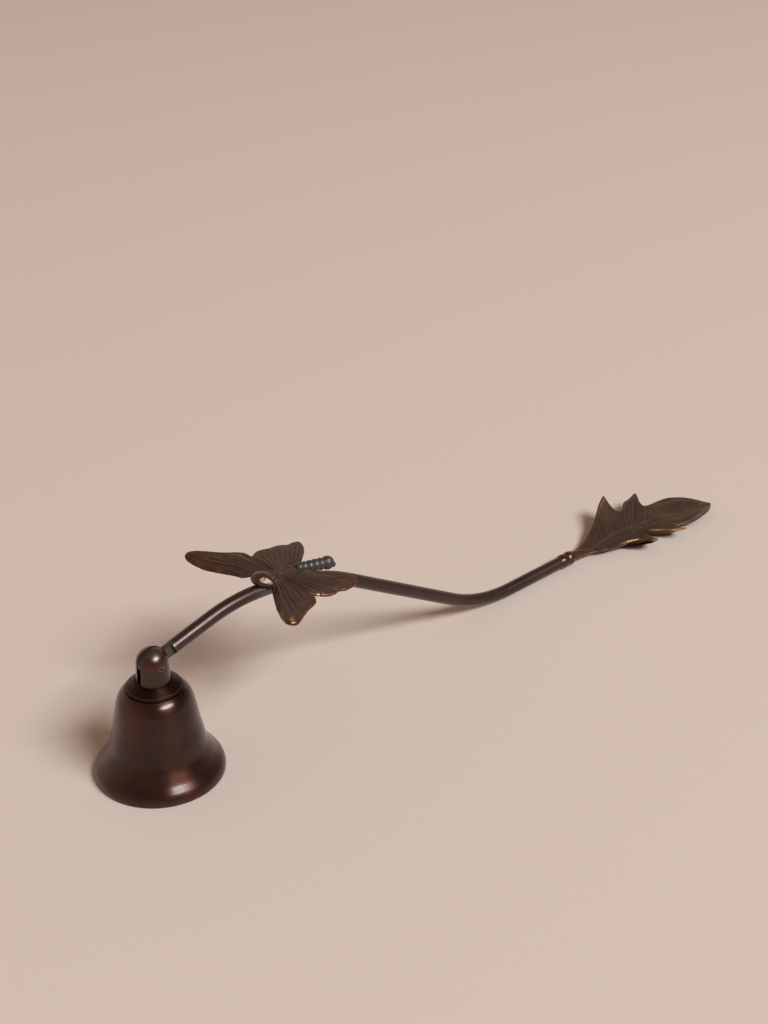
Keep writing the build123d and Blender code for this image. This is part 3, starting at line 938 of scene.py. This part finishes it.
def patina(
    name, ground, warm, hollow_and_shade, gloss, clouds, grain=0.25, turned=0.0, coat=0.5, coat_blur=0.22,
    sinking=0.6, touch=None, dulled=None, bare_dullness=0.12,
):
    """Dark bronze patina under thin lacquer: a ground tone, warmer clouds, hollows and painted shade, red and
    rubbed places.

    Turned is the depth of turning rings, coat and coat_blur are the lacquer's weight and roughness, sinking
    is how dark the hollows and painted shade get, touch adds what one surface alone has, dulled is where the
    lacquer is gone.
    """
    material, tree, shader, place = new_material(name)
    rubbed, sunk, reddened = (
        node(tree, "ShaderNodeAttribute", {}, attribute_name=mark).outputs["Fac"] for mark in surface_marks
    )
    specks = mottling(tree, place, speck_scale, detail=3.0, low=0.3, high=0.7)
    fine = mottling(tree, place, grain_scale, detail=2.0, low=0.3, high=0.7)
    colour = blended(tree, mottling(tree, place, clouds), ground, warm)
    colour = blended(tree, scaled(tree, specks, speck_darkness), colour, hollow_and_shade)
    colour = blended(tree, scaled(tree, reddened, redness), colour, red_patina)
    colour = blended(tree, scaled(tree, sunk, sinking), colour, hollow_and_shade)
    if touch:
        colour = touch(tree, place, colour)
    worn = both(tree, ranged(tree, scaled(tree, specks, 0.4, rubbed), 0.45, 0.85), rubbed)
    colour = blended(tree, worn, colour, brass)
    tree.links.new(colour, shader.inputs["Base Color"])
    dull = scaled(tree, reddened, red_dullness, scaled(tree, specks, speck_dullness, gloss))
    shader.inputs["Coat Weight"].default_value = coat
    if dulled:
        bare = dulled(tree, place)
        dull = scaled(tree, bare, bare_dullness, dull)
        tree.links.new(scaled(tree, bare, -lacquer_lost * coat, coat), shader.inputs["Coat Weight"])
    tree.links.new(scaled(tree, worn, brass_dullness, dull), shader.inputs["Roughness"])
    bump_height = scaled(tree, specks, 0.6, scaled(tree, fine, 0.25))
    if turned:
        rings = mottling(tree, place, turning_scale, detail=1.0, stretch=(0.02, 0.02, 1))
        bump_height = scaled(tree, rings, turned, bump_height)
        round_way = vectors(tree, "CROSS_PRODUCT", (0, 0, 1), place)
        turned_way = node(tree, "ShaderNodeVectorTransform", {"Vector": round_way}, vector_type="VECTOR")
        tree.links.new(turned_way.outputs["Vector"], shader.inputs["Tangent"])
        shader.inputs["Anisotropic"].default_value = 0.7
        shader.inputs["Anisotropic Rotation"].default_value = 0.25
    settings = {"Height": bump_height, "Strength": grain, "Distance": grain_depth * mm}
    tree.links.new(node(tree, "ShaderNodeBump", settings).outputs["Normal"], shader.inputs["Normal"])
    shader.inputs["Metallic"].default_value = 0.92
    shader.inputs["Coat Roughness"].default_value = coat_blur
    return material


# Colours of the finish, as the metal reflects them
brass = (0.62, 0.40, 0.17)
red_patina = (0.140, 0.047, 0.036)
dark_red = (0.075, 0.020, 0.014)
chocolate = (0.033, 0.0095, 0.0042)
russet = (0.066, 0.0185, 0.0095)
rust = (0.070, 0.027, 0.019)
rod_brown = (0.040, 0.0160, 0.0095)
black = (0.010, 0.006, 0.0045)
soot_brown = (0.013, 0.0050, 0.0026)
olive_brown = (0.052, 0.033, 0.019)
umber = (0.122, 0.068, 0.050)
olive = (0.130, 0.082, 0.052)
bright_olive = (0.205, 0.132, 0.074)
shade = (0.040, 0.022, 0.018)
plum = (0.070, 0.038, 0.032)
walnut = (0.055, 0.034, 0.024)
blued = (0.100, 0.097, 0.095)
green_grey = (0.075, 0.068, 0.048)
dull_brass = (0.42, 0.28, 0.12)

# Where the finish changes, in millimetres: up from the table, out from an axis or along the handle. Each is
# the place where the change starts and the place where it ends.
lip_worn = (2.2, 0.6)
knob_olive_foot = (43.6, 43.0)
knob_red_from = (43.2, 44.0)
knob_red_to = (46.5, 45.0)
knob_olive_top = (46.5, 48.0)
# The collar's outer edge, which carries a painted highlight
collar_highlight_rim = (9.15, 9.3)
pin_height = 43.3
pin_dark_end = (0.75, 0.5)
# The tongue's end, painted black as shade
tongue_end_shade = (3.5, 1.0)
tongue_from = (4.0, 5.2)
tongue_to = (8.6, 8.1)
blued_from = (41, 48)
blued_to = (76, 66)
abdomen_blued = (59.5, 62.5)
abdomen_bare = (59.5, 61.5)


def bell_inside(tree, place):
    """1 on the bell's inside, where the surface faces the axis."""
    outward = node(tree, "ShaderNodeTexCoord", {}).outputs["Normal"]
    level = vectors(tree, "MULTIPLY", place, (1, 1, 0))
    facing = vectors(tree, "DOT_PRODUCT", level, outward, output="Value")
    return ranged(tree, facing, 0.0, -1.0 * mm)


def bell_touch(tree, place, colour):
    """Dark and red clouds, a worn lip, and soot inside."""
    dark = mottling(tree, place, 38.0, detail=2.0, low=0.5, high=0.62, stretch=(1, 1, 0.6))
    colour = blended(tree, scaled(tree, dark, 0.55), colour, soot_brown)
    red = both(tree, mottling(tree, place, 55.0, detail=2.0, low=0.48, high=0.7), 0.9)
    colour = blended(tree, red, colour, dark_red)
    lip = both(tree, change(tree, coordinate(tree, place, "Z"), lip_worn), mottling(tree, place, 300.0))
    colour = blended(tree, scaled(tree, lip, 0.7), colour, red_patina)
    return blended(tree, bell_inside(tree, place), colour, black)


def collar_painted_highlight(tree, place, colour):
    """Painted highlight: the collar's outer edge is made lighter, in clouds."""
    out = vectors(tree, "LENGTH", vectors(tree, "MULTIPLY", place, (1, 1, 0)), output="Value")
    # Painted highlight: olive, in clouds, on the outer edge.
    rim = both(tree, change(tree, out, collar_highlight_rim), mottling(tree, place, 250.0, low=0.2, high=0.6))
    return blended(tree, scaled(tree, rim, 0.25), colour, olive)


def knob_touch(tree, place, colour):
    """Olive brown up to the pin, a dark red band above it, and a lighter top."""
    up = coordinate(tree, place, "Z")
    colour = blended(tree, scaled(tree, change(tree, up, knob_olive_foot), 0.8), colour, olive_brown)
    band = both(tree, change(tree, up, knob_red_from), change(tree, up, knob_red_to))
    band = both(tree, band, mottling(tree, place, 200.0, low=0.2, high=0.6))
    colour = blended(tree, band, colour, dark_red)
    return blended(tree, scaled(tree, change(tree, up, knob_olive_top), 0.7), colour, olive)


def pin_touch(tree, place, colour):
    """The peened end is dark, with a rubbed ring round it."""
    level = vectors(tree, "MULTIPLY", place, (1, 0, 1))
    out = vectors(tree, "DISTANCE", level, (0, 0, pin_height * mm), output="Value")
    return blended(tree, change(tree, out, pin_dark_end), colour, black)


def rod_touch(tree, place, colour):
    """Painted shade in black on the tongue's end by the knob, grey-green on its flats, and blue-grey by the
    butterfly from brazing.
    """
    along = coordinate(tree, place, "X")
    # Painted shade: the tongue's end turns black where it goes into the knob.
    colour = blended(tree, change(tree, along, tongue_end_shade), colour, black)
    tongue = both(tree, change(tree, along, tongue_to), change(tree, along, tongue_from))
    colour = blended(tree, tongue, colour, green_grey)
    heat = both(tree, change(tree, along, blued_from), change(tree, along, blued_to))
    heat = both(tree, heat, mottling(tree, place, 180.0, low=0.1, high=0.55))
    return blended(tree, scaled(tree, heat, 0.9), colour, blued)


def body_touch(tree, place, colour):
    """The abdomen stays blue-grey from the brazing."""
    behind = change(tree, coordinate(tree, place, "X"), abdomen_blued)
    tint = both(tree, behind, mottling(tree, place, 260.0, low=0.05, high=0.5))
    return blended(tree, scaled(tree, tint, 0.8), colour, blued)


def abdomen_dull(tree, place):
    """The abdomen has lost its lacquer."""
    return change(tree, coordinate(tree, place, "X"), abdomen_bare)


def make_finishes():
    """One finish for each of the object's surfaces."""
    return {
        "bell": patina(
            "bell_bronze", chocolate, russet, black, gloss=0.31, grain=0.1, clouds=45, turned=0.3,
            coat=0.6, coat_blur=0.17, touch=bell_touch, dulled=bell_inside, bare_dullness=0.35,
        ),
        "bell_collar": patina(
            "collar_bronze", soot_brown, chocolate, black, gloss=0.4, grain=0.12, clouds=60, turned=0.8,
            coat=0.15, touch=collar_painted_highlight,
        ),
        "clevis_knob": patina(
            "knob_bronze", walnut, rust, black, gloss=0.3, grain=0.15, clouds=90, coat=0.6, touch=knob_touch
        ),
        "handle_rod": patina(
            "rod_bronze", rod_brown, rust, black, gloss=0.38, grain=0.12, clouds=60, coat=0.72,
            coat_blur=0.33, touch=rod_touch,
        ),
        "butterfly_wings": patina(
            "wing_bronze", umber, olive, shade, gloss=0.5, grain=0.5, clouds=120, coat=0.2, sinking=0.7
        ),
        "butterfly_body": patina(
            "body_bronze", umber, rust, shade, gloss=0.34, grain=0.12, clouds=160, touch=body_touch,
            dulled=abdomen_dull,
        ),
        "butterfly_braze": patina("braze_blued", blued, umber, black, gloss=0.36, grain=0.4, clouds=150),
        "leaf": patina(
            "leaf_bronze", bright_olive, olive, plum, gloss=0.46, grain=0.4, clouds=110, coat=0.25,
            sinking=0.9,
        ),
        "leaf_braze": patina("braze_bronze", rust, red_patina, black, gloss=0.3, clouds=150),
        "hinge_pin": patina(
            "pin_brass", dull_brass, umber, black, gloss=0.35, grain=0.2, clouds=400, touch=pin_touch
        ),
        "crown_washer": patina("washer_brass", dull_brass, umber, black, gloss=0.42, grain=0.2, clouds=300),
        "crown_nut": patina("nut_brass", dull_brass, umber, black, gloss=0.4, grain=0.2, clouds=300),
    }


card_colour = (0.62, 0.51, 0.44)


def make_floor():
    """A floor of pale card, six metres wide."""
    clear_selection()
    bpy.ops.mesh.primitive_plane_add(size=6)
    floor = bpy.context.object
    floor.name = "floor"
    card, tree, shader, place = new_material("pale_card")
    tooth = mottling(tree, place, 380.0, detail=6.0, low=0.2, high=0.8)
    bump = node(tree, "ShaderNodeBump", {"Height": tooth, "Strength": 0.12, "Distance": 0.4 * mm})
    tree.links.new(bump.outputs["Normal"], shader.inputs["Normal"])
    shader.inputs["Base Color"].default_value = (*card_colour, 1)
    shader.inputs["Roughness"].default_value = 0.85
    shader.inputs["Specular IOR Level"].default_value = 0.2
    floor.data.materials.append(card)


# The key lamp, an oval softbox that looks at the snuffer's middle. Its distance and size are in metres.
snuffer_middle = Vector((100, 0, 20))
key_toward = Vector((0.10, -0.70, 0.71))
key_distance = 6
key_size = (3.8, 1.9)
key_power = 425
key_colour = (0.90, 0.95, 1.0)


def make_key_lamp():
    lamp_data = bpy.data.lights.new("key", "AREA")
    lamp_data.shape = "ELLIPSE"
    lamp_data.size, lamp_data.size_y = key_size
    lamp_data.energy = key_power
    lamp_data.color = key_colour
    lamp = bpy.data.objects.new("key", lamp_data)
    bpy.context.scene.collection.objects.link(lamp)
    lamp.location = snuffer_middle * mm + key_toward.normalized() * key_distance
    lamp.rotation_euler = key_toward.to_track_quat("Z", "Y").to_euler()


# The room's light: its strength overhead and at the horizon, and how much more comes from behind on the left
room_colour = (1.0, 0.74, 0.58)
room_overhead = 0.23
room_horizon = 0.53
room_lean = 0.55
room_bright_side = (-0.35, 0.94, 0)


def make_room():
    world = bpy.data.worlds.new("soft_room")
    bpy.context.scene.world = world
    world.use_nodes = True
    tree = world.node_tree
    background = tree.nodes["Background"]
    toward = node(tree, "ShaderNodeTexCoord", {}).outputs["Generated"]
    height = ranged(tree, coordinate(tree, toward, "Z"), 0.0, 0.9)
    lit = scaled(tree, height, room_overhead - room_horizon, room_horizon)
    side = vectors(tree, "DOT_PRODUCT", toward, room_bright_side, output="Value")
    lean = scaled(tree, side, room_lean, 1.0)
    tree.links.new(scaled(tree, lit, lean), background.inputs["Strength"])
    background.inputs["Color"].default_value = (*room_colour, 1)


# The camera's place, in millimetres, and where it looks, both solved from the photograph, as its lens is
camera_place = Vector((-243.40, -385.10, 341.72))
camera_look = Vector((0.589, 0.654, -0.474))


def make_camera():
    camera_data = bpy.data.cameras.new("camera")
    camera_data.sensor_fit = "VERTICAL"
    camera_data.sensor_height = 36
    camera_data.lens = 56.95
    camera_data.clip_start = 0.01
    camera = bpy.data.objects.new("camera", camera_data)
    bpy.context.scene.collection.objects.link(camera)
    camera.location = camera_place * mm
    camera.rotation_euler = camera_look.to_track_quat("-Z", "Y").to_euler()
    bpy.context.scene.camera = camera


def main():
    finishes = make_finishes()
    for name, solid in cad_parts.items():
        solid.data.materials.clear()
        solid.data.materials.append(finishes[name])
    make_wings(finishes["butterfly_wings"])
    make_body(finishes["butterfly_body"])
    make_leaf(finishes["leaf"])
    make_leaf_braze(finishes["leaf_braze"])
    make_floor()
    make_room()
    make_key_lamp()
    make_camera()
    bpy.context.scene.view_settings.view_transform = "Standard"
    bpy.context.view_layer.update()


main()
